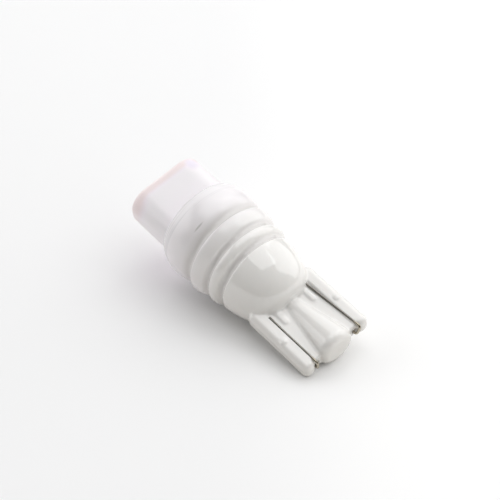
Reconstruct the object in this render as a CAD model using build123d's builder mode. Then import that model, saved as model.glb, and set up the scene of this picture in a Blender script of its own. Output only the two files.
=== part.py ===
from build123d import *
from math import asin, atan2, cos, degrees, hypot, radians, sin
import os

# Wedge base LED bulb, lying on its side. Heights run along the bulb's axis, from the end of the
# wedge base at 0 to the end of the lens. Radii and widths are measured from that axis.

# Wedge base
blade_width = 9.3
web_thickness = 1.8
web_end_height = 0.45
web_end_round = 0.2
rail_width = 1.6
rail_thickness = 2.2
rail_corner = 0.7
rail_end_round = 0.6
rail_height = 9.6
detent_height = 4.3
detent_radius = 0.55
detent_rise = 0.22
boss_tip_radius = 1.75
boss_tip_height = -0.1
boss_ridge_radius = 2.3
boss_ridge_height = 0.65
boss_root_radius = 1.15
boss_root_height = 7.6
gusset_spread = 2.05
gusset_radius = 0.62
gusset_lift = 0.62
gusset_height = 5.9

# Shoulder dome, from its flat nose up to the groove under the third rib
nose_height = 7.4
nose_radius = 1.9
dome_low_rise = 2.1
dome_low_radius = 4.2
dome_side_rise = 2.0
dome_side_radius = 4.86
dome_crest_rise = 1.8
dome_crest_radius = 5.12
groove_3_rise = 0.42
groove_3_radius = 4.86

# Three ribs like stacked cups, each with its sharp edge on the lens side
rib_3_side_rise = 0.78
rib_3_side_radius = 5.4
rib_3_edge_rise = 0.8
rib_3_edge_radius = 5.57
groove_2_rise = 0.35
groove_2_radius = 5.22
rib_2_side_rise = 0.95
rib_2_side_radius = 5.66
rib_2_edge_rise = 1.02
rib_2_edge_radius = 5.88
groove_1_rise = 0.33
groove_1_radius = 5.46
rib_1_crest_rise = 2.6
rib_1_crest_radius = 6.02
rim_rise = 2.25
rim_radius = 5.36

# Inside of the body
cavity_radius = 4.0
cavity_depth = 8.8
seat_ledge = 0.75
seat_depth = 0.9

# Lens
lens_thickness = 5.4
lens_corner = 2.3
lens_rise = 6.45
lens_end_round = 0.55
lens_wall = 0.9
foot_clearance = 0.1
adhesive_thickness = 0.15

# Leads
lead_radius = 0.15
lead_bed = 0.05
lead_clearance = 0.05
lead_hole_radius = 0.45
lead_hole_spread = 2.85
lead_hole_lift = -0.1
lead_bend_radius = 0.35
lead_bend_height = -0.05
near_exit = (-3.05, 0.2)
near_fold_spread = -3.05
near_top_spread = -3.05
near_top_height = 7.55
far_exit = (2.65, 0.0)
far_fold_spread = 3.25
far_top_spread = 2.68
far_top_height = 8.05
lead_entry = 1.0

# Circuit board and what it carries
board_side_gap = 0.4
board_thickness = 1.0
board_end_gap = 0.7
board_corner = 0.6
notch_width = 0.9
notch_depth = 2.0
land_thickness = 0.05
joint_radius = 0.75
joint_rise = 0.5
joint_taper = 35
joint_clearance = 0.03
led_size = 3.0
led_rise = 0.65
led_margin = 2.3
cup_radius = 1.2
cup_depth = 0.35
phosphor_clearance = 0.02
resistor_length = 3.2
resistor_width = 1.6
resistor_rise = 0.55
resistor_band = 0.5
resistor_gap = 0.8
rectifier_length = 4.7
rectifier_width = 3.8
rectifier_rise = 1.5
rectifier_corner = 0.25
rectifier_gap = 2.2
terminal_width = 0.7
terminal_reach = 0.9
terminal_pitch = 2.54
potting_rise = 2.7
potting_clearance = 0.1

# Heights of the dome and the ribs, each above the last
dome_low_height = nose_height + dome_low_rise
dome_side_height = dome_low_height + dome_side_rise
dome_crest_height = dome_side_height + dome_crest_rise
groove_3_height = dome_crest_height + groove_3_rise
rib_3_side_height = groove_3_height + rib_3_side_rise
rib_3_edge_height = rib_3_side_height + rib_3_edge_rise
groove_2_height = rib_3_edge_height + groove_2_rise
rib_2_side_height = groove_2_height + rib_2_side_rise
rib_2_edge_height = rib_2_side_height + rib_2_edge_rise
groove_1_height = rib_2_edge_height + groove_1_rise
rib_1_crest_height = groove_1_height + rib_1_crest_rise
rim_height = rib_1_crest_height + rim_rise
cavity_floor = rim_height - cavity_depth
lead_inner_height = cavity_floor + lead_entry
seat_radius = cavity_radius + seat_ledge
lens_width = 2 * (cavity_radius + lens_wall)
lens_height = rim_height + lens_rise

# Resting pose: the side of the dome and the ridge of the boss touch the floor, which sets the tilt
dome_side = ThreePointArc(
    (dome_crest_radius, dome_crest_height),
    (dome_side_radius, dome_side_height),
    (dome_low_radius, dome_low_height),
)
dome_middle = dome_side.arc_center
middle_rise = dome_middle.X - boss_ridge_radius
middle_run = dome_middle.Y - boss_ridge_height
tilt = atan2(middle_rise, middle_run) + asin(dome_side.radius / hypot(middle_rise, middle_run))
axis_lift = boss_ridge_radius * cos(tilt) - boss_ridge_height * sin(tilt)

# The end of the near rail comes down to the same floor, which sets the roll
rail_reach = blade_width / 2 - rail_corner
rail_drop = rail_thickness / 2 - rail_corner
rail_lift = axis_lift + rail_end_round * (sin(tilt) - 1)
rail_support = rail_lift / cos(tilt) - (rail_corner - rail_end_round)
roll = asin(rail_support / hypot(rail_reach, rail_drop)) - atan2(rail_drop, rail_reach)

# The lens end and the hook of the far lead are the two ends of the lying bulb
lens_half = (lens_width / 2 - lens_corner) * sin(roll) + (lens_thickness / 2 - lens_corner) * cos(roll)
lens_support = lens_half + lens_corner - lens_end_round
lens_end_reach = (lens_height - lens_end_round) * cos(tilt) + lens_support * sin(tilt) + lens_end_round
lead_lift = web_thickness / 2 + lead_radius - lead_bed
hook_rise = far_fold_spread * sin(roll) + lead_lift * cos(roll)
hook_reach = hook_rise * sin(tilt) - lead_bend_height * cos(tilt) + lead_radius
axis_start = (lens_end_reach - hook_reach) / 2

# Planes of the bulb: across its axis, the two faces of the blade and the side of the blade
bulb = Plane(
    origin=(axis_start, 0, axis_lift),
    x_dir=(sin(roll) * sin(tilt), cos(roll), sin(roll) * cos(tilt)),
    z_dir=(-cos(tilt), 0, sin(tilt)),
)
bulb_axis = Axis(bulb.origin, bulb.z_dir)
upper = Plane(origin=bulb.origin, x_dir=bulb.x_dir, z_dir=-bulb.y_dir)
lower = Plane(origin=bulb.origin, x_dir=-bulb.x_dir, z_dir=bulb.y_dir)
blade_side = Plane(origin=bulb.origin, x_dir=bulb.y_dir, z_dir=bulb.x_dir)
blade_faces = {"upper": upper, "lower": lower}
rail_offset = (blade_width - rail_width) / 2


def lead_corners(exit_point, fold_spread, top_spread, top_height):
    """Corners of a lead: up the hole, round the end of the web and along its upper face."""
    return (
        (exit_point[0], exit_point[1], lead_inner_height),
        (exit_point[0], exit_point[1], lead_bend_height),
        (fold_spread, -lead_lift, lead_bend_height),
        (top_spread, -lead_lift, top_height),
    )


near_corners = lead_corners(near_exit, near_fold_spread, near_top_spread, near_top_height)
far_corners = lead_corners(far_exit, far_fold_spread, far_top_spread, far_top_height)

os.makedirs("parts", exist_ok=True)

# Ceramic body: one glazed moulding of wedge base, shoulder dome and ribbed barrel
with BuildPart() as ceramic_body:
    # Edge rails with rounded ends and a detent bump on each face
    with BuildSketch(bulb):
        with Locations((-rail_offset, 0), (rail_offset, 0)):
            RectangleRounded(rail_width, rail_thickness, rail_corner)
    extrude(amount=rail_height)
    rail_ends = ceramic_body.edges().group_by(bulb_axis)
    fillet(rail_ends[0] + rail_ends[-1], rail_end_round)
    detent_sink = rail_thickness / 2 + detent_rise - detent_radius
    with Locations(bulb.offset(detent_height)):
        with GridLocations(2 * rail_offset, 2 * detent_sink, 2, 2):
            Sphere(detent_radius)

    # Flat web between the rails, with a rounded end
    with BuildSketch(blade_side) as web_section:
        with Locations((0, (web_end_height + rail_height) / 2)):
            Rectangle(web_thickness, rail_height - web_end_height)
        fillet(web_section.vertices().group_by(Axis.Y)[0], web_end_round)
    extrude(amount=rail_offset, both=True)

    # Tapered boss down the middle of the web, with a bevelled end
    with BuildSketch(upper):
        Polygon(
            (0, boss_tip_height),
            (boss_tip_radius, boss_tip_height),
            (boss_ridge_radius, boss_ridge_height),
            (boss_root_radius, boss_root_height),
            (boss_root_radius, rail_height),
            (0, rail_height),
            align=None,
        )
    revolve(axis=bulb_axis)

    # Shoulder dome and ribbed barrel, turned about the axis
    with BuildSketch(upper):
        with BuildLine():
            Line((0, rim_height), (rim_radius, rim_height))
            ThreePointArc(
                (rim_radius, rim_height),
                (rib_1_crest_radius, rib_1_crest_height),
                (groove_1_radius, groove_1_height),
            )
            Line((groove_1_radius, groove_1_height), (rib_2_edge_radius, rib_2_edge_height))
            ThreePointArc(
                (rib_2_edge_radius, rib_2_edge_height),
                (rib_2_side_radius, rib_2_side_height),
                (groove_2_radius, groove_2_height),
            )
            Line((groove_2_radius, groove_2_height), (rib_3_edge_radius, rib_3_edge_height))
            ThreePointArc(
                (rib_3_edge_radius, rib_3_edge_height),
                (rib_3_side_radius, rib_3_side_height),
                (groove_3_radius, groove_3_height),
            )
            Line((groove_3_radius, groove_3_height), (dome_crest_radius, dome_crest_height))
            add(dome_side)
            TangentArc(
                (dome_low_radius, dome_low_height),
                (nose_radius, nose_height),
                tangent=dome_side % 1,
            )
            Line((nose_radius, nose_height), (0, nose_height))
            Line((0, nose_height), (0, rim_height))
        make_face()
    revolve(axis=bulb_axis)

    # Small round-ended gussets where the web runs up into the dome, two on each face
    with BuildSketch(bulb.offset(gusset_height)):
        with GridLocations(2 * gusset_spread, 2 * gusset_lift, 2, 2):
            Circle(gusset_radius)
    extrude(amount=rail_height - gusset_height)
    with Locations(bulb.offset(gusset_height)):
        with GridLocations(2 * gusset_spread, 2 * gusset_lift, 2, 2):
            Sphere(gusset_radius)

    # Cavity for the board, and the round seat of the lens at its mouth
    with BuildSketch(bulb.offset(cavity_floor)):
        Circle(cavity_radius)
    extrude(amount=rim_height - cavity_floor, mode=Mode.SUBTRACT)
    with BuildSketch(bulb.offset(rim_height - seat_depth)):
        Circle(seat_radius)
    extrude(amount=seat_depth, mode=Mode.SUBTRACT)

    # Lead holes from the end of the web up to the cavity, and the beds of the folded leads
    with BuildSketch(bulb):
        with Locations((-lead_hole_spread, -lead_hole_lift), (lead_hole_spread, -lead_hole_lift)):
            Circle(lead_hole_radius)
    extrude(amount=cavity_floor, mode=Mode.SUBTRACT)
    for corners in (near_corners, far_corners):
        bed_start = bulb.from_local_coords(Vector(*corners[2]))
        bed_end = bulb.from_local_coords(Vector(*corners[3]))
        bed_run = bed_end - bed_start
        with BuildSketch(Plane(origin=bed_start, z_dir=bed_run)):
            Circle(lead_radius + lead_clearance)
        extrude(amount=bed_run.length + lead_clearance, mode=Mode.SUBTRACT)
ceramic_body.part.label = "ceramic_body"
export_step(ceramic_body.part, "parts/ceramic_body.step")

# Frosted lens: a flat cap with a rounded end on a round foot that drops into the rim
foot_start = rim_height - seat_depth + adhesive_thickness
with BuildPart() as lens:
    with BuildSketch(bulb.offset(rim_height)):
        RectangleRounded(lens_width, lens_thickness, lens_corner)
    extrude(amount=lens_height - rim_height)
    fillet(lens.edges().group_by(bulb_axis)[-1], lens_end_round)
    with BuildSketch(bulb.offset(foot_start)):
        Circle(seat_radius - foot_clearance)
    extrude(amount=rim_height - foot_start)
    with BuildSketch(bulb.offset(foot_start)):
        RectangleRounded(
            lens_width - 2 * lens_wall,
            lens_thickness - 2 * lens_wall,
            lens_corner - lens_wall,
        )
    extrude(amount=lens_height - lens_wall - foot_start, mode=Mode.SUBTRACT)
lens.part.label = "lens"
export_step(lens.part, "parts/lens.step")

# Ring of clear adhesive under the foot of the lens
with BuildPart() as lens_adhesive:
    with BuildSketch(bulb.offset(rim_height - seat_depth)):
        Circle(seat_radius - foot_clearance)
        Circle(cavity_radius + foot_clearance, mode=Mode.SUBTRACT)
    extrude(amount=adhesive_thickness)
lens_adhesive.part.label = "lens_adhesive"
export_step(lens_adhesive.part, "parts/lens_adhesive.step")

# Contact leads: plated wire up through the holes, folded over the end onto the upper face
with BuildPart() as lead_near:
    with BuildLine(bulb) as near_route:
        FilletPolyline(*near_corners, radius=lead_bend_radius)
    with BuildSketch(Plane(origin=near_route.line @ 0, z_dir=near_route.line % 0)):
        Circle(lead_radius)
    sweep()
lead_near.part.label = "lead_near"
export_step(lead_near.part, "parts/lead_near.step")

with BuildPart() as lead_far:
    with BuildLine(bulb) as far_route:
        FilletPolyline(*far_corners, radius=lead_bend_radius)
    with BuildSketch(Plane(origin=far_route.line @ 0, z_dir=far_route.line % 0)):
        Circle(lead_radius)
    sweep()
lead_far.part.label = "lead_far"
export_step(lead_far.part, "parts/lead_far.step")

# Circuit board, upright in the plane of the blade, with a notch for each lead
board_height = lens_height - lens_wall - board_end_gap - cavity_floor
lead_spreads = (near_exit[0], far_exit[0])
with BuildPart() as led_board:
    with BuildSketch(upper.offset(-board_thickness / 2)) as board_outline:
        with Locations((0, cavity_floor + board_height / 2)):
            Rectangle(2 * (cavity_radius - board_side_gap), board_height)
        fillet(board_outline.vertices().group_by(Axis.Y)[-1], board_corner)
        with Locations(*((spread, cavity_floor) for spread in lead_spreads)):
            SlotOverall(2 * notch_depth, notch_width, rotation=90, mode=Mode.SUBTRACT)
    extrude(amount=board_thickness)
led_board.part.label = "led_board"
export_step(led_board.part, "parts/led_board.step")

# Copper lands: round ones at the leads, and a pair under each component
land_level = board_thickness / 2
mount_level = land_level + land_thickness
joint_height = cavity_floor + notch_depth
led_height = cavity_floor + board_height - led_margin
resistor_start = led_height - led_size / 2 - resistor_gap - resistor_width / 2
resistor_heights = (resistor_start - resistor_gap - resistor_width, resistor_start)
rectifier_height = led_height - led_size / 2 - rectifier_gap - rectifier_width / 2
led_land_spread = led_size / 2 - terminal_width / 2
resistor_land_spread = resistor_length / 2 - resistor_band / 2
rectifier_land_spread = (rectifier_length + terminal_reach) / 2
with BuildPart() as board_lands:
    with BuildSketch(upper.offset(land_level)):
        with Locations(*((spread, joint_height) for spread in lead_spreads)):
            Circle(joint_radius)
        with Locations((-led_land_spread, led_height), (led_land_spread, led_height)):
            Rectangle(terminal_width, led_size)
        with Locations(*((spread, cavity_floor) for spread in lead_spreads)):
            SlotOverall(2 * notch_depth, notch_width, rotation=90, mode=Mode.SUBTRACT)
        for resistor_height in resistor_heights:
            with Locations((0, resistor_height)):
                with GridLocations(2 * resistor_land_spread, 0, 2, 1):
                    Rectangle(resistor_band, resistor_width)
    extrude(amount=land_thickness)
    with BuildSketch(lower.offset(land_level)):
        with Locations((-led_land_spread, led_height), (led_land_spread, led_height)):
            Rectangle(terminal_width, led_size)
        with Locations((0, rectifier_height)):
            with GridLocations(2 * rectifier_land_spread, terminal_pitch, 2, 2):
                Rectangle(terminal_reach, terminal_width)
    extrude(amount=land_thickness)
board_lands.part.label = "board_lands"
export_step(board_lands.part, "parts/board_lands.step")

# Solder joints: each fills its notch above the end of a lead and stands as a cone on the land
notch_end = joint_height - notch_width / 2
with BuildPart() as solder_joints:
    with BuildSketch(upper.offset(mount_level)):
        with Locations(*((spread, joint_height) for spread in lead_spreads)):
            Circle(joint_radius)
    extrude(amount=joint_rise, taper=joint_taper)
    with BuildSketch(upper.offset(mount_level)):
        with Locations(*((spread, notch_end) for spread in lead_spreads)):
            Circle(notch_width / 2 - joint_clearance)
        with Locations(*((spread, (lead_inner_height + notch_end) / 2) for spread in lead_spreads)):
            Rectangle(notch_width - 2 * joint_clearance, notch_end - lead_inner_height)
    extrude(amount=-mount_level - land_level)
solder_joints.part.label = "solder_joints"
export_step(solder_joints.part, "parts/solder_joints.step")

# One LED package on each face of the board, with its cup filled by phosphor
for face_name, face in blade_faces.items():
    with BuildPart() as led_package:
        with BuildSketch(face.offset(mount_level)):
            with Locations((0, led_height)):
                Rectangle(led_size, led_size)
        extrude(amount=led_rise)
        with BuildSketch(face.offset(mount_level + led_rise)):
            with Locations((0, led_height)):
                Circle(cup_radius)
        extrude(amount=-cup_depth, mode=Mode.SUBTRACT)
    led_package.part.label = "led_" + face_name
    export_step(led_package.part, "parts/led_" + face_name + ".step")

    with BuildPart() as phosphor:
        with BuildSketch(face.offset(mount_level + led_rise - cup_depth)):
            with Locations((0, led_height)):
                Circle(cup_radius - phosphor_clearance)
        extrude(amount=cup_depth - phosphor_clearance)
    phosphor.part.label = "phosphor_" + face_name
    export_step(phosphor.part, "parts/phosphor_" + face_name + ".step")

# Two chip resistors in a row on the upper face
for resistor_name, resistor_height in zip(("inner", "outer"), resistor_heights):
    with BuildPart() as resistor:
        with BuildSketch(upper.offset(mount_level)):
            with Locations((0, resistor_height)):
                Rectangle(resistor_length, resistor_width)
        extrude(amount=resistor_rise)
        with BuildSketch(upper.offset(mount_level + resistor_rise)):
            with Locations((0, resistor_height)):
                Rectangle(resistor_length - 2 * resistor_band, resistor_width)
        extrude(amount=-land_thickness, mode=Mode.SUBTRACT)
    resistor.part.label = "resistor_" + resistor_name
    export_step(resistor.part, "parts/resistor_" + resistor_name + ".step")

# Bridge rectifier on the lower face, a moulded block on four bent terminals
with BuildPart() as rectifier:
    with BuildSketch(lower.offset(mount_level)):
        with Locations((0, rectifier_height)):
            Rectangle(rectifier_length, rectifier_width)
    extrude(amount=rectifier_rise)
    fillet(rectifier.edges().filter_by(Axis(bulb.origin, bulb.y_dir)), rectifier_corner)
    with BuildSketch(lower.offset(mount_level)):
        with Locations((0, rectifier_height)):
            with GridLocations(rectifier_length + terminal_reach, terminal_pitch, 2, 2):
                Rectangle(terminal_reach, terminal_width)
    extrude(amount=rectifier_rise / 2)
rectifier.part.label = "rectifier"
export_step(rectifier.part, "parts/rectifier.step")

# Heat conducting compound: a cheek on each side of the board, on the floor of the cavity
joint_gap = mount_level + joint_rise + potting_clearance
board_gap = mount_level + potting_clearance
with BuildPart() as potting:
    with BuildSketch(bulb.offset(cavity_floor)):
        Circle(cavity_radius - potting_clearance)
        with Locations((0, (board_gap - joint_gap) / 2)):
            Rectangle(2 * cavity_radius, board_gap + joint_gap, mode=Mode.SUBTRACT)
    extrude(amount=potting_rise)
potting.part.label = "potting"
export_step(potting.part, "parts/potting.step")

print("tilt", round(degrees(tilt), 2), "roll", round(degrees(roll), 2))
print("axis start", round(axis_start, 3), "axis lift", round(axis_lift, 3))
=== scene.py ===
import math

import bpy
from mathutils import Matrix, Vector


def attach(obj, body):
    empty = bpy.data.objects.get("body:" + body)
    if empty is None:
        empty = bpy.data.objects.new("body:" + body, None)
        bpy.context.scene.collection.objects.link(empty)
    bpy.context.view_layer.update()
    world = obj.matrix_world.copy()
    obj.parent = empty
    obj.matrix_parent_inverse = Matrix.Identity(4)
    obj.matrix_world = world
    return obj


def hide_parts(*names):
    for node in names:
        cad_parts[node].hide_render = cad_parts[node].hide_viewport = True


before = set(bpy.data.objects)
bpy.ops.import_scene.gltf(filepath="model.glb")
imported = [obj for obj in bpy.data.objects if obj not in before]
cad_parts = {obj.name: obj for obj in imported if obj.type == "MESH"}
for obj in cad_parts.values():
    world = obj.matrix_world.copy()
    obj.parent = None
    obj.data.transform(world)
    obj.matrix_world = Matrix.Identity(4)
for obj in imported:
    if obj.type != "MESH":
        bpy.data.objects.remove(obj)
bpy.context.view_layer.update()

# --- Ceramic body -------------------------------------------------------------------------
# The white glazed moulding: a barrel with three ribs, a domed shoulder and the flat wedge blade.
# It is slip cast or pressed in one piece, fired, and its glaze rounds every edge and corner.
# It is shaped upright here, with its axis on Z and the end of the blade at 0, then laid down.
MM = 0.001

TILT = math.radians(13.28)
ROLL = math.radians(17.54)
AXIS_START = (14.255 * MM, 0, 2.089 * MM)

BLADE_ACROSS = Vector((math.sin(ROLL) * math.sin(TILT), math.cos(ROLL), math.sin(ROLL) * math.cos(TILT)))
BULB_AXIS = Vector((-math.cos(TILT), 0, math.sin(TILT)))
BLADE_BACK = BULB_AXIS.cross(BLADE_ACROSS)
LYING = Matrix.Translation(AXIS_START) @ Matrix((BLADE_ACROSS, BLADE_BACK, BULB_AXIS)).transposed().to_4x4()

BLADE_WIDTH = 9.3 * MM
WEB_THICKNESS = 1.8 * MM
WEB_END = 0.45 * MM
WEB_CORNER = 0.2 * MM
RAIL_WIDTH = 1.6 * MM
RAIL_THICKNESS = 2.2 * MM
RAIL_CORNER = 0.68 * MM
RAIL_LEDGE_START = 0.75 * MM
RAIL_LEDGE_CORNER = 0.12 * MM
RAIL_HEIGHT = 9.6 * MM
RAIL_OFFSET = (BLADE_WIDTH - RAIL_WIDTH) / 2
DETENT_HEIGHT = 4.3 * MM
DETENT_RADIUS = 0.7 * MM
DETENT_RISE = 0.16 * MM
GUSSET_SPREAD = 2.05 * MM
GUSSET_LIFT = 0.36 * MM
GUSSET_RADIUS = 0.7 * MM
GUSSET_HEIGHT = 6.0 * MM
GUSSET_WAIST = 0.1 * GUSSET_RADIUS
CAVITY_RADIUS = 4.0 * MM
CAVITY_FLOOR = 14.0 * MM
SEAT_RADIUS = 4.75 * MM
SEAT_FLOOR = 21.9 * MM
RIM_RADIUS = 5.36 * MM
RIM_HEIGHT = 22.8 * MM
LEAD_HOLE_RADIUS = 0.45 * MM
LEAD_HOLE_SPREAD = 2.85 * MM
LEAD_HOLE_LIFT = 0.1 * MM

MERGE_WITHIN = 0.002 * MM
SKIN_DETAIL = 0.125 * MM
SMOOTH_UP_TO = math.radians(40)


def nothing_selected():
    """Leave every object out of the next operator."""
    bpy.ops.object.select_all(action="DESELECT")


def only(piece):
    """Make one piece the whole selection."""
    nothing_selected()
    piece.select_set(True)
    bpy.context.view_layer.objects.active = piece


def named(name):
    """Name the primitive that was just added."""
    piece = bpy.context.object
    piece.name = name
    piece.data.name = name
    return piece


def applied(piece, kind, **settings):
    """Add a modifier to a piece and apply it."""
    only(piece)
    modifier = piece.modifiers.new(kind.title(), kind)
    for setting, value in settings.items():
        setattr(modifier, setting, value)
    bpy.ops.object.modifier_apply(modifier=modifier.name)


def arc(start, through, end, steps):
    """Points of the circular arc from start by through to end, without its start."""
    (ax, ay), (bx, by), (cx, cy) = start, through, end
    twice_area = 2 * (ax * (by - cy) + bx * (cy - ay) + cx * (ay - by))
    a2, b2, c2 = ax * ax + ay * ay, bx * bx + by * by, cx * cx + cy * cy
    ox = (a2 * (by - cy) + b2 * (cy - ay) + c2 * (ay - by)) / twice_area
    oy = (a2 * (cx - bx) + b2 * (ax - cx) + c2 * (bx - ax)) / twice_area
    radius = math.hypot(ax - ox, ay - oy)
    first = math.atan2(ay - oy, ax - ox)
    middle = (math.atan2(by - oy, bx - ox) - first) % math.tau
    last = (math.atan2(cy - oy, cx - ox) - first) % math.tau
    if middle > last:
        last -= math.tau
    angles = [first + last * step / steps for step in range(1, steps + 1)]
    return [(ox + radius * math.cos(angle), oy + radius * math.sin(angle)) for angle in angles]


def turned(name, profile, segments):
    """Turn a profile of (radius, height) points round the Z axis, as on a wheel."""
    nothing_selected()
    bpy.ops.mesh.primitive_plane_add(size=MM)
    piece = named(name)
    bpy.ops.object.mode_set(mode="EDIT")
    bpy.ops.mesh.merge(type="CENTER")
    corners = [Vector((radius, 0, height)) for radius, height in profile]
    bpy.ops.transform.translate(value=corners[0])
    for corner, following in zip(corners, corners[1:]):
        bpy.ops.mesh.extrude_vertices_move(TRANSFORM_OT_translate={"value": following - corner})
    bpy.ops.mesh.select_all(action="SELECT")
    bpy.ops.mesh.spin(steps=segments, angle=math.tau, center=(0, 0, 0), axis=(0, 0, 1))
    bpy.ops.mesh.select_all(action="SELECT")
    bpy.ops.mesh.remove_doubles(threshold=MERGE_WITHIN)
    bpy.ops.mesh.normals_make_consistent(inside=False)
    bpy.ops.object.mode_set(mode="OBJECT")
    return piece


def rounded_bar(name, low, high, corner, segments=6):
    """A box between two corners with every edge rounded."""
    nothing_selected()
    middle = (Vector(low) + Vector(high)) / 2
    bpy.ops.mesh.primitive_cube_add(size=1, location=middle, scale=Vector(high) - Vector(low))
    piece = named(name)
    bpy.ops.object.transform_apply(location=False, rotation=False, scale=True)
    bpy.ops.object.mode_set(mode="EDIT")
    bpy.ops.mesh.select_all(action="SELECT")
    bpy.ops.mesh.bevel(offset=corner, segments=segments, affect="EDGES")
    bpy.ops.object.mode_set(mode="OBJECT")
    return piece


# The barrel is turned from one outline, of (radius, height) points
ON_AXIS = 0.0
dome_nose = (1.9 * MM, 7.4 * MM)
dome_shoulder = (3.33 * MM, 8.24 * MM)
dome_low = (4.2 * MM, 9.5 * MM)
dome_side = (4.86 * MM, 11.5 * MM)
dome_crest = (5.1 * MM, 13.0 * MM)
groove_3 = (4.74 * MM, 13.48 * MM)
rib_3_foot = (5.16 * MM, 13.98 * MM)
rib_3_side = (5.46 * MM, 14.6 * MM)
rib_3_crest = (5.4 * MM, 15.06 * MM)
groove_2 = (5.04 * MM, 15.5 * MM)
rib_2_foot = (5.42 * MM, 15.95 * MM)
rib_2_side = (5.72 * MM, 16.6 * MM)
rib_2_crest = (5.9 * MM, 17.45 * MM)
rib_2_lip = (5.8 * MM, 17.66 * MM)
groove_1 = (5.38 * MM, 18.05 * MM)
rib_1_foot = (5.6 * MM, 18.7 * MM)
rib_1_side = (5.85 * MM, 19.3 * MM)
rib_1_flank = (5.97 * MM, 19.95 * MM)
rib_1_top = (5.88 * MM, 21.4 * MM)
rim = (RIM_RADIUS, RIM_HEIGHT)

barrel_outline = [
    (ON_AXIS, dome_nose[1]),
    dome_nose,
    *arc(dome_nose, dome_shoulder, dome_low, 16),
    *arc(dome_low, dome_side, dome_crest, 16),
    *arc(dome_crest, groove_3, rib_3_foot, 12),
    *arc(rib_3_foot, rib_3_side, rib_3_crest, 10),
    *arc(rib_3_crest, groove_2, rib_2_foot, 12),
    *arc(rib_2_foot, rib_2_side, rib_2_crest, 12),
    rib_2_lip,
    *arc(rib_2_lip, groove_1, rib_1_foot, 8),
    *arc(rib_1_foot, rib_1_side, rib_1_flank, 10),
    *arc(rib_1_flank, rib_1_top, rim, 18),
    (SEAT_RADIUS, RIM_HEIGHT),
    (SEAT_RADIUS, SEAT_FLOOR),
    (CAVITY_RADIUS, SEAT_FLOOR),
    (CAVITY_RADIUS, CAVITY_FLOOR),
    (ON_AXIS, CAVITY_FLOOR),
]
barrel = turned("barrel", barrel_outline, 180)

# The tapered boss runs down the middle of the blade, from inside the dome to its own round end
boss_end = (1.45 * MM, -0.1 * MM)
boss_edge = (2.1 * MM, 0.22 * MM)
boss_side = (2.27 * MM, 0.95 * MM)
boss_neck = (1.15 * MM, 7.6 * MM)
boss_root = (1.15 * MM, 10 * MM)

boss_outline = [
    (ON_AXIS, boss_end[1]),
    boss_end,
    *arc(boss_end, boss_edge, boss_side, 10),
    boss_neck,
    boss_root,
    (ON_AXIS, boss_root[1]),
]
boss = turned("boss", boss_outline, 96)


def ball(name, radius, place):
    """A small round lump that will melt into the moulding."""
    nothing_selected()
    bpy.ops.mesh.primitive_uv_sphere_add(radius=radius, location=place)
    return named(name)


web = rounded_bar(
    "web",
    (-RAIL_OFFSET, -WEB_THICKNESS / 2, WEB_END),
    (RAIL_OFFSET, WEB_THICKNESS / 2, RAIL_HEIGHT),
    WEB_CORNER,
)
moulded = [barrel, boss, web]
for side in (-1, 1):
    middle = side * RAIL_OFFSET
    rail = rounded_bar(
        "rail",
        (middle - RAIL_WIDTH / 2, -RAIL_THICKNESS / 2, 0),
        (middle + RAIL_WIDTH / 2, RAIL_THICKNESS / 2, RAIL_HEIGHT),
        RAIL_CORNER,
    )
    inner_edge = middle - side * RAIL_WIDTH / 2
    rail_ledge = rounded_bar(
        "rail_ledge",
        (min(inner_edge, middle), -RAIL_THICKNESS / 2, RAIL_LEDGE_START),
        (max(inner_edge, middle), RAIL_THICKNESS / 2, RAIL_HEIGHT),
        RAIL_LEDGE_CORNER,
    )
    moulded += [rail, rail_ledge]
    for face in (-1, 1):
        sink = RAIL_THICKNESS / 2 + DETENT_RISE - DETENT_RADIUS
        detent = ball("detent", DETENT_RADIUS, (middle, face * sink, DETENT_HEIGHT))
        gusset_place = (side * GUSSET_SPREAD, face * GUSSET_LIFT, GUSSET_HEIGHT)
        gusset = ball("gusset", GUSSET_RADIUS, gusset_place)
        # The upper half of the ball is drawn out to the top of the rails
        bpy.ops.object.mode_set(mode="EDIT")
        bpy.ops.mesh.select_mode(type="VERT")
        bpy.ops.mesh.select_all(action="DESELECT")
        bpy.ops.object.mode_set(mode="OBJECT")
        for vertex in gusset.data.vertices:
            vertex.select = vertex.co.z > GUSSET_WAIST
        bpy.ops.object.mode_set(mode="EDIT")
        bpy.ops.transform.translate(value=(0, 0, RAIL_HEIGHT - GUSSET_HEIGHT - GUSSET_RADIUS))
        bpy.ops.object.mode_set(mode="OBJECT")
        moulded += [detent, gusset]

# The shapes fuse into one skin, which the glaze then smooths
nothing_selected()
for piece in moulded:
    piece.select_set(True)
bpy.context.view_layer.objects.active = barrel
bpy.ops.object.join()
body = named("ceramic_body_glazed")
bpy.ops.object.transform_apply(location=True, rotation=True, scale=True)
applied(body, "REMESH", mode="VOXEL", voxel_size=SKIN_DETAIL)
applied(body, "SMOOTH", factor=0.5, iterations=3)

# Two holes are drilled for the leads, from the end of the web up to the cavity
drills = []
for side in (-1, 1):
    nothing_selected()
    bpy.ops.mesh.primitive_cylinder_add(
        vertices=24,
        radius=LEAD_HOLE_RADIUS,
        depth=CAVITY_FLOOR + 2 * MM,
        location=(side * LEAD_HOLE_SPREAD, LEAD_HOLE_LIFT, CAVITY_FLOOR / 2),
    )
    drills.append(named("drill"))
    applied(body, "BOOLEAN", operation="DIFFERENCE", object=drills[-1], solver="EXACT")
for drill in drills:
    bpy.data.objects.remove(drill)

only(body)
body.data.transform(LYING)
bpy.ops.object.shade_smooth_by_angle(angle=SMOOTH_UP_TO)


def surface(name, colour, roughness, metallic=0.0):
    """A material with one Principled shader, and the means to build on it."""
    material = bpy.data.materials.new(name)
    material.use_nodes = True
    shader = material.node_tree.nodes["Principled BSDF"]
    shader.inputs["Base Color"].default_value = (*colour, 1)
    shader.inputs["Roughness"].default_value = roughness
    shader.inputs["Metallic"].default_value = metallic
    return material, material.node_tree.nodes, material.node_tree.links, shader


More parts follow.
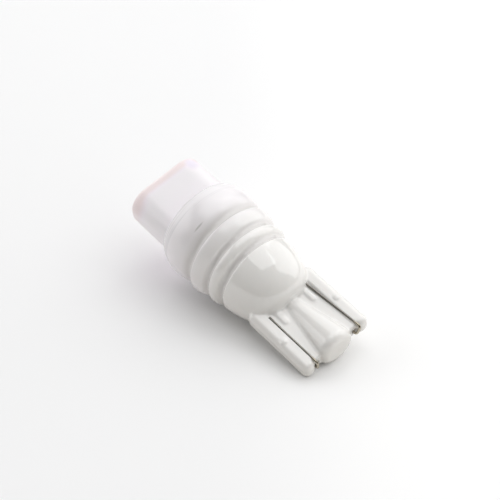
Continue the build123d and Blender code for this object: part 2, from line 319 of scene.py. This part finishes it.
def dress(piece, material):
    """Give a piece its one material."""
    piece.data.materials.clear()
    piece.data.materials.append(material)


def bulb_space(nodes, links):
    """Object coordinates turned into the bulb's own frame: across the blade, behind it, along the axis."""
    place = nodes.new("ShaderNodeTexCoord")
    mapping = nodes.new("ShaderNodeMapping")
    mapping.vector_type = "TEXTURE"
    mapping.inputs["Location"].default_value = LYING.to_translation()
    mapping.inputs["Rotation"].default_value = LYING.to_euler()
    links.new(place.outputs["Object"], mapping.inputs["Vector"])
    return mapping.outputs["Vector"]


def scaled(nodes, links, space, scale):
    """A space made denser or sparser along each of its axes."""
    mapping = nodes.new("ShaderNodeMapping")
    mapping.inputs["Scale"].default_value = scale
    links.new(space, mapping.inputs["Vector"])
    return mapping.outputs["Vector"]


def measured(nodes, links, space, direction):
    """How far a point is along one direction, X, Y or Z, of a space."""
    parts = nodes.new("ShaderNodeSeparateXYZ")
    links.new(space, parts.inputs["Vector"])
    return parts.outputs[direction]


def worked_out(nodes, links, operation, *values):
    """A sum on one or two values, each a number or another node's output."""
    sum_node = nodes.new("ShaderNodeMath")
    sum_node.operation = operation
    for value, given in zip(values, sum_node.inputs):
        if isinstance(value, float):
            given.default_value = value
        else:
            links.new(value, given)
    return sum_node.outputs["Value"]


def eased(nodes, links, value, low, high, start=0.0, end=1.0):
    """A smooth change from start to end while a value goes from low to high."""
    span = nodes.new("ShaderNodeMapRange")
    span.interpolation_type = "SMOOTHSTEP"
    span.inputs["From Min"].default_value = low
    span.inputs["From Max"].default_value = high
    span.inputs["To Min"].default_value = start
    span.inputs["To Max"].default_value = end
    links.new(value, span.inputs["Value"])
    return span.outputs["Result"]


def blended(nodes, links, value, low, high, colours):
    """A smooth change from one colour to another while a value goes from low to high."""
    mix = nodes.new("ShaderNodeMix")
    mix.data_type = "RGBA"
    links.new(eased(nodes, links, value, low, high), mix.inputs["Factor"])
    for socket, colour in zip(("A", "B"), colours):
        given = [end for end in mix.inputs if end.name == socket and end.type == "RGBA"][0]
        if isinstance(colour, tuple):
            given.default_value = (*colour, 1)
        else:
            links.new(colour, given)
    return [end for end in mix.outputs if end.type == "RGBA"][0]


def spot(nodes, links, space, centre, reach, turn=0.0):
    """One at the centre of a small ellipsoid, turned about the axis, and nothing at its edge."""
    mapping = nodes.new("ShaderNodeMapping")
    mapping.vector_type = "TEXTURE"
    mapping.inputs["Location"].default_value = centre
    mapping.inputs["Rotation"].default_value = (0, 0, turn)
    mapping.inputs["Scale"].default_value = reach
    gradient = nodes.new("ShaderNodeTexGradient")
    gradient.gradient_type = "SPHERICAL"
    links.new(space, mapping.inputs["Vector"])
    links.new(mapping.outputs["Vector"], gradient.inputs["Vector"])
    return gradient.outputs["Fac"]


# The glaze is crisp on the dome and duller on the ribs, and warmer at the blade than at the rim
GLAZE_WHITE = (0.86, 0.855, 0.86)
BLADE_WHITE = (0.865, 0.855, 0.835)
RIM_WHITE = (0.875, 0.85, 0.87)
WHITES_MEET = (13 * MM, 21 * MM)
CRISP_GLAZE = 0.035
DULL_GLAZE = 0.25
GLAZE_DULLS = (12.8 * MM, 18.2 * MM)

glaze, nodes, links, shader = surface("white_glaze", GLAZE_WHITE, CRISP_GLAZE)
shader.inputs["Subsurface Weight"].default_value = 0.12
shader.inputs["Subsurface Radius"].default_value = (1.0, 0.9, 0.85)
shader.inputs["Subsurface Scale"].default_value = 0.6 * MM
shader.inputs["IOR"].default_value = 1.8
in_bulb = bulb_space(nodes, links)
along = measured(nodes, links, in_bulb, "Z")
tint = blended(nodes, links, along, *WHITES_MEET, (BLADE_WHITE, RIM_WHITE))
dullness = eased(nodes, links, along, *GLAZE_DULLS, CRISP_GLAZE, DULL_GLAZE)
links.new(dullness, shader.inputs["Roughness"])

# Each groove is painted a little darker, as painted shade in the recess, over a reach to both sides of its
# height
GROOVE_PAINTED_SHADE = (0.72, 0.7, 0.69)
GROOVES = ((13.5 * MM, 0.55 * MM), (15.52 * MM, 0.55 * MM), (18.2 * MM, 1.1 * MM))

for groove_height, groove_reach in GROOVES:
    above_groove = worked_out(nodes, links, "SUBTRACT", along, groove_height)
    from_groove = worked_out(nodes, links, "ABSOLUTE", above_groove)
    tint = blended(nodes, links, from_groove, 0, groove_reach, (GROOVE_PAINTED_SHADE, tint))

# One short scratch in the glaze of the first rib
SCRATCH_GREY = (0.64, 0.63, 0.62)
SCRATCH_AROUND = math.radians(-114.5)
SCRATCH_OUT = 5.86 * MM
SCRATCH_HEIGHT = 19.35 * MM
SCRATCH_REACH = (0.5 * MM, 0.95 * MM, 0.15 * MM)
SCRATCH_FADE = (0.0, 0.7)

scratch_place = (
    SCRATCH_OUT * math.cos(SCRATCH_AROUND),
    SCRATCH_OUT * math.sin(SCRATCH_AROUND),
    SCRATCH_HEIGHT,
)
scratch = spot(nodes, links, in_bulb, scratch_place, SCRATCH_REACH, SCRATCH_AROUND)
tint = blended(nodes, links, scratch, *SCRATCH_FADE, (tint, SCRATCH_GREY))

# Faint streaks run round the first rib, and grow towards the rim
STREAK_GREY = (0.78, 0.76, 0.78)
STREAK_GRAIN = (60, 60, 3600)
STREAKS_GROW = (19.6 * MM, 21.8 * MM)
STREAK_FADE = (0.48, 0.62)

streaks = nodes.new("ShaderNodeTexNoise")
streaks.inputs["Scale"].default_value = 1
streaks.inputs["Detail"].default_value = 3
links.new(scaled(nodes, links, in_bulb, STREAK_GRAIN), streaks.inputs["Vector"])
near_rim = eased(nodes, links, along, *STREAKS_GROW)
streaked = worked_out(nodes, links, "MULTIPLY", streaks.outputs["Fac"], near_rim)
tint = blended(nodes, links, streaked, *STREAK_FADE, (tint, STREAK_GREY))
links.new(tint, shader.inputs["Base Color"])
dress(body, glaze)

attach(body, "root")
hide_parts("ceramic_body")

# --- Lens ---------------------------------------------------------------------------------
# The frosted cap over the light emitting diodes, injection moulded in translucent plastic.
# Its flat sides lie along the blade, and its round foot is glued into the rim of the body.
LENS_WIDTH = 9.8 * MM
LENS_THICKNESS = 5.4 * MM
LENS_CORNER = 2.3 * MM
LENS_END = 29.25 * MM
LENS_END_ROUND = 0.55 * MM
LENS_WALL = 0.9 * MM
HOLLOW_END_ROUND = 0.3 * MM
FOOT_RADIUS = 4.65 * MM
FOOT_START = 22.05 * MM
SAME_LEVEL = 0.01 * MM


def flat_cap(name, width, thickness, corner, low, high, end_round):
    """An upright block with rounded corners and a rounded far end."""
    nothing_selected()
    bpy.ops.mesh.primitive_cube_add(
        size=1, location=(0, 0, (low + high) / 2), scale=(width, thickness, high - low)
    )
    piece = named(name)
    bpy.ops.object.transform_apply(location=True, rotation=False, scale=True)
    bpy.ops.object.mode_set(mode="EDIT")
    bpy.ops.mesh.select_mode(type="EDGE")
    bpy.ops.mesh.select_all(action="DESELECT")
    bpy.ops.object.mode_set(mode="OBJECT")
    corners = piece.data.vertices
    for edge in piece.data.edges:
        one, two = (corners[index].co for index in edge.vertices)
        edge.select = abs(one.z - two.z) > 0.5 * (high - low)
    bpy.ops.object.mode_set(mode="EDIT")
    bpy.ops.mesh.bevel(offset=corner, segments=20, affect="EDGES")
    bpy.ops.mesh.select_all(action="DESELECT")
    bpy.ops.object.mode_set(mode="OBJECT")
    corners = piece.data.vertices
    for edge in piece.data.edges:
        one, two = (corners[index].co for index in edge.vertices)
        edge.select = min(one.z, two.z) > high - SAME_LEVEL
    bpy.ops.object.mode_set(mode="EDIT")
    bpy.ops.mesh.bevel(offset=end_round, segments=10, affect="EDGES")
    bpy.ops.object.mode_set(mode="OBJECT")
    return piece


lens = flat_cap(
    "lens_frosted", LENS_WIDTH, LENS_THICKNESS, LENS_CORNER, FOOT_START, LENS_END, LENS_END_ROUND
)
nothing_selected()
bpy.ops.mesh.primitive_cylinder_add(
    vertices=128,
    radius=FOOT_RADIUS,
    depth=RIM_HEIGHT - FOOT_START,
    location=(0, 0, (RIM_HEIGHT + FOOT_START) / 2),
)
foot = named("lens_foot")
hollow = flat_cap(
    "lens_hollow",
    LENS_WIDTH - 2 * LENS_WALL,
    LENS_THICKNESS - 2 * LENS_WALL,
    LENS_CORNER - LENS_WALL,
    FOOT_START - MM,
    LENS_END - LENS_WALL,
    HOLLOW_END_ROUND,
)
# The block is cut off level with the rim, and the round foot takes its place below that
trim = flat_cap(
    "lens_trim", 2 * LENS_WIDTH, 2 * LENS_WIDTH, LENS_CORNER, FOOT_START - 2 * MM, RIM_HEIGHT, SAME_LEVEL
)
applied(lens, "BOOLEAN", operation="DIFFERENCE", object=trim, solver="EXACT")
applied(lens, "BOOLEAN", operation="UNION", object=foot, solver="EXACT")
applied(lens, "BOOLEAN", operation="DIFFERENCE", object=hollow, solver="EXACT")
for tool in (foot, hollow, trim):
    bpy.data.objects.remove(tool)
only(lens)
lens.data.transform(LYING)
bpy.ops.object.shade_smooth_by_angle(angle=SMOOTH_UP_TO)

# The plastic looks rosy where it is thick, round its end and at the near corner
LENS_CLEAR = (0.99, 0.89, 1.0)
LENS_BLUSH = (0.88, 0.78, 0.785)
BLUSH_STARTS = (LENS_END - 1.4 * MM, LENS_END - 0.8 * MM)
END_FACE_FADE = (0.35, 0.85)
NEAR_CORNER = (-LENS_WIDTH / 2, -LENS_THICKNESS / 2, LENS_END)
NEAR_CORNER_REACH = (2.6 * MM, 6 * MM, 2.6 * MM)
NEAR_CORNER_FADE = (0.0, 0.5)
# A bluish darker spot near the far corner is painted shade of the board inside the lens
FAR_CORNER_PAINTED_SHADE = (0.83, 0.78, 0.88)
FAR_CORNER_SHADE_PLACE = (3.7 * MM, -LENS_THICKNESS / 2, 28 * MM)
FAR_CORNER_SHADE_REACH = (1.1 * MM, 2 * MM, 1.2 * MM)
FAR_CORNER_SHADE_FADE = (0.0, 0.7)

frosted, nodes, links, shader = surface("frosted_plastic", (0.99, 0.97, 1.0), 0.3)
shader.inputs["IOR"].default_value = 1.6
shader.inputs["Subsurface Weight"].default_value = 1.0
shader.inputs["Subsurface Radius"].default_value = (1.0, 1.0, 1.0)
shader.inputs["Subsurface Scale"].default_value = 0.9 * MM
shader.inputs["Sheen Weight"].default_value = 0.6
shader.inputs["Sheen Roughness"].default_value = 0.45
shader.inputs["Sheen Tint"].default_value = (1.0, 0.95, 0.98, 1)
in_bulb = bulb_space(nodes, links)
along = measured(nodes, links, in_bulb, "Z")
from_axis = nodes.new("ShaderNodeVectorMath")
from_axis.operation = "LENGTH"
section = scaled(nodes, links, in_bulb, (2 / LENS_WIDTH, 2 / LENS_THICKNESS, 0))
links.new(section, from_axis.inputs[0])
end_face = blended(nodes, links, from_axis.outputs["Value"], *END_FACE_FADE, (LENS_CLEAR, LENS_BLUSH))
tint = blended(nodes, links, along, *BLUSH_STARTS, (LENS_CLEAR, end_face))
near_corner = spot(nodes, links, in_bulb, NEAR_CORNER, NEAR_CORNER_REACH)
tint = blended(nodes, links, near_corner, *NEAR_CORNER_FADE, (tint, LENS_BLUSH))
# Painted shade of the board inside, as a bluish darker spot near the far corner
far_corner_shade = spot(nodes, links, in_bulb, FAR_CORNER_SHADE_PLACE, FAR_CORNER_SHADE_REACH)
tint = blended(nodes, links, far_corner_shade, *FAR_CORNER_SHADE_FADE, (tint, FAR_CORNER_PAINTED_SHADE))
links.new(tint, shader.inputs["Base Color"])
dress(lens, frosted)

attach(lens, "root")
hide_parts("lens")

# --- Leads --------------------------------------------------------------------------------
# Two plated wires that come out of the end of the blade and fold back along its upper face.
# They are rigid contact leads, soldered to the board inside and pressed into shallow beds.
WIRE_DARK = (0.25, 0.24, 0.22)
WIRE_PALE = (0.45, 0.41, 0.33)
WIRE_BEND = (0.3 * MM, 1.3 * MM)

wire, nodes, links, shader = surface("plated_wire", WIRE_DARK, 0.12, metallic=1.0)
along = measured(nodes, links, bulb_space(nodes, links), "Z")
plating = blended(nodes, links, along, *WIRE_BEND, (WIRE_PALE, WIRE_DARK))
links.new(plating, shader.inputs["Base Color"])
for name in ("lead_near", "lead_far"):
    dress(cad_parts[name], wire)

# --- Board and its components ------------------------------------------------------------
# The white circuit board stands in the plane of the blade, held in a pale compound. It carries
# the diodes, their phosphor, two resistors and a rectifier, and is soldered to the leads.
# The lens is bonded over it with a thin ring of clear adhesive.
GRAIN = 1800
GRAIN_EDGES = (0.35, 0.65)
FINISHES = (
    (("led_board",), "white_solder_mask", (0.87, 0.87, 0.84), (0.92, 0.92, 0.9), 0.35, 0.0),
    (("board_lands",), "tinned_copper", (0.66, 0.64, 0.61), (0.8, 0.78, 0.75), 0.35, 1.0),
    (("solder_joints",), "bright_solder", (0.6, 0.6, 0.61), (0.78, 0.78, 0.79), 0.22, 1.0),
    (("led_upper", "led_lower"), "diode_housing", (0.86, 0.85, 0.81), (0.92, 0.91, 0.88), 0.4, 0.0),
    (
        ("phosphor_upper", "phosphor_lower"),
        "yellow_phosphor",
        (0.8, 0.58, 0.08),
        (0.88, 0.7, 0.16),
        0.3,
        0.0,
    ),
    (
        ("resistor_inner", "resistor_outer"),
        "black_chip",
        (0.02, 0.02, 0.023),
        (0.045, 0.045, 0.05),
        0.35,
        0.0,
    ),
    (("rectifier",), "black_epoxy", (0.018, 0.018, 0.02), (0.035, 0.035, 0.037), 0.5, 0.0),
    (("potting",), "white_compound", (0.84, 0.84, 0.82), (0.9, 0.9, 0.89), 0.6, 0.0),
    (("lens_adhesive",), "clear_adhesive", (0.78, 0.78, 0.8), (0.84, 0.84, 0.86), 0.3, 0.0),
)


def mottled(nodes, links, shader, low, high):
    """Vary the colour softly over the surface, between two colours."""
    place = nodes.new("ShaderNodeTexCoord")
    noise = nodes.new("ShaderNodeTexNoise")
    noise.inputs["Scale"].default_value = GRAIN
    noise.inputs["Detail"].default_value = 4
    ramp = nodes.new("ShaderNodeValToRGB")
    for element, position, colour in zip(ramp.color_ramp.elements, GRAIN_EDGES, (low, high)):
        element.position = position
        element.color = (*colour, 1)
    links.new(place.outputs["Object"], noise.inputs["Vector"])
    links.new(noise.outputs["Fac"], ramp.inputs["Fac"])
    links.new(ramp.outputs["Color"], shader.inputs["Base Color"])


for pieces, finish, low, high, roughness, metallic in FINISHES:
    material, nodes, links, shader = surface(finish, high, roughness, metallic)
    mottled(nodes, links, shader, low, high)
    for name in pieces:
        dress(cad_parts[name], material)

# --- Floor, light and camera --------------------------------------------------------------
# A plain white studio table under soft lamps, seen from the photograph's height and side.
# The table is one flat sheet, and the lamps stand round it in a ring, with one overhead.
FLOOR_SIZE = 3

# What is seen of the table is whiter to the right, also in reflections and through the lens.
# The light that it throws back onto the bulb is dimmer towards the blade.
SEEN_TURN = math.radians(-47)
SEEN_SPAN = (-6 * MM, 20 * MM)
SEEN_WHITES = ((0.89, 0.893, 0.898), (0.97, 0.97, 0.97))
BOUNCED_SPAN = (-9 * MM, 12 * MM)
BOUNCED_WHITES = ((0.95, 0.93, 0.93), (0.71, 0.69, 0.65))

nothing_selected()
bpy.ops.mesh.primitive_plane_add(size=FLOOR_SIZE, location=(0, 0, 0))
floor = named("floor")
table_white, nodes, links, shader = surface("table_white", (0.93, 0.93, 0.935), 0.9)
shader.inputs["Specular IOR Level"].default_value = 0.0
place = nodes.new("ShaderNodeTexCoord")
across = nodes.new("ShaderNodeMapping")
across.inputs["Rotation"].default_value = (0, 0, SEEN_TURN)
links.new(place.outputs["Object"], across.inputs["Vector"])
beside = measured(nodes, links, across.outputs["Vector"], "X")
seen = blended(nodes, links, beside, *SEEN_SPAN, SEEN_WHITES)
lengthwise = measured(nodes, links, place.outputs["Object"], "X")
bounced = blended(nodes, links, lengthwise, *BOUNCED_SPAN, BOUNCED_WHITES)
sight = nodes.new("ShaderNodeLightPath")
mirrored = worked_out(
    nodes, links, "MAXIMUM", sight.outputs["Is Glossy Ray"], sight.outputs["Is Transmission Ray"]
)
visible = worked_out(nodes, links, "MAXIMUM", sight.outputs["Is Camera Ray"], mirrored)
shown = blended(nodes, links, visible, 0, 1, (bounced, seen))
links.new(shown, shader.inputs["Base Color"])
dress(floor, table_white)

LAMP_DISTANCE = 0.4


def softbox(name, azimuth, elevation, width, height, power):
    """A soft lamp that faces the bulb from an azimuth and an elevation in degrees."""
    light = bpy.data.lights.new(name, "AREA")
    light.shape = "RECTANGLE"
    light.size = width
    light.size_y = height
    light.energy = power
    lamp = bpy.data.objects.new(name, light)
    bpy.context.scene.collection.objects.link(lamp)
    around, above = math.radians(azimuth), math.radians(elevation)
    flat = math.cos(above)
    towards = Vector((flat * math.cos(around), flat * math.sin(around), math.sin(above)))
    lamp.location = towards * LAMP_DISTANCE
    lamp.rotation_euler = towards.to_track_quat("Z", "Y").to_euler()
    return lamp


softbox("key_softbox", azimuth=72, elevation=37, width=0.42, height=0.5, power=0.88)
softbox("back_softbox", azimuth=140, elevation=37, width=0.44, height=0.5, power=0.68)
softbox("left_softbox", azimuth=213, elevation=25, width=0.46, height=0.32, power=0.63)
softbox("top_softbox", azimuth=0, elevation=90, width=0.34, height=0.34, power=0.48)
fill = softbox("right_softbox", azimuth=12, elevation=37, width=0.4, height=0.5, power=0.67)
fill.visible_glossy = False

WORLD_COLOUR = (1, 0.96, 0.91, 1)
WORLD_STRENGTH = 0.09

world = bpy.data.worlds.new("studio")
bpy.context.scene.world = world
world.use_nodes = True
backdrop = world.node_tree.nodes["Background"]
backdrop.inputs["Color"].default_value = WORLD_COLOUR
backdrop.inputs["Strength"].default_value = WORLD_STRENGTH

bpy.context.scene.view_settings.view_transform = "Standard"

CAMERA_PLACE = Vector((90.32, -84.44, 100.51)) * MM
CAMERA_AIM = Vector((-1.31, 1.65, 6.0)) * MM
CAMERA_LENS = 100.8
CAMERA_SENSOR = 36
CAMERA_REACH = (0.005, 10)

camera = bpy.data.objects.new("camera", bpy.data.cameras.new("camera"))
bpy.context.scene.collection.objects.link(camera)
camera.data.lens = CAMERA_LENS
camera.data.sensor_width = CAMERA_SENSOR
camera.data.clip_start, camera.data.clip_end = CAMERA_REACH
camera.location = CAMERA_PLACE
camera.rotation_euler = (CAMERA_PLACE - CAMERA_AIM).to_track_quat("Z", "Y").to_euler()
bpy.context.scene.camera = camera
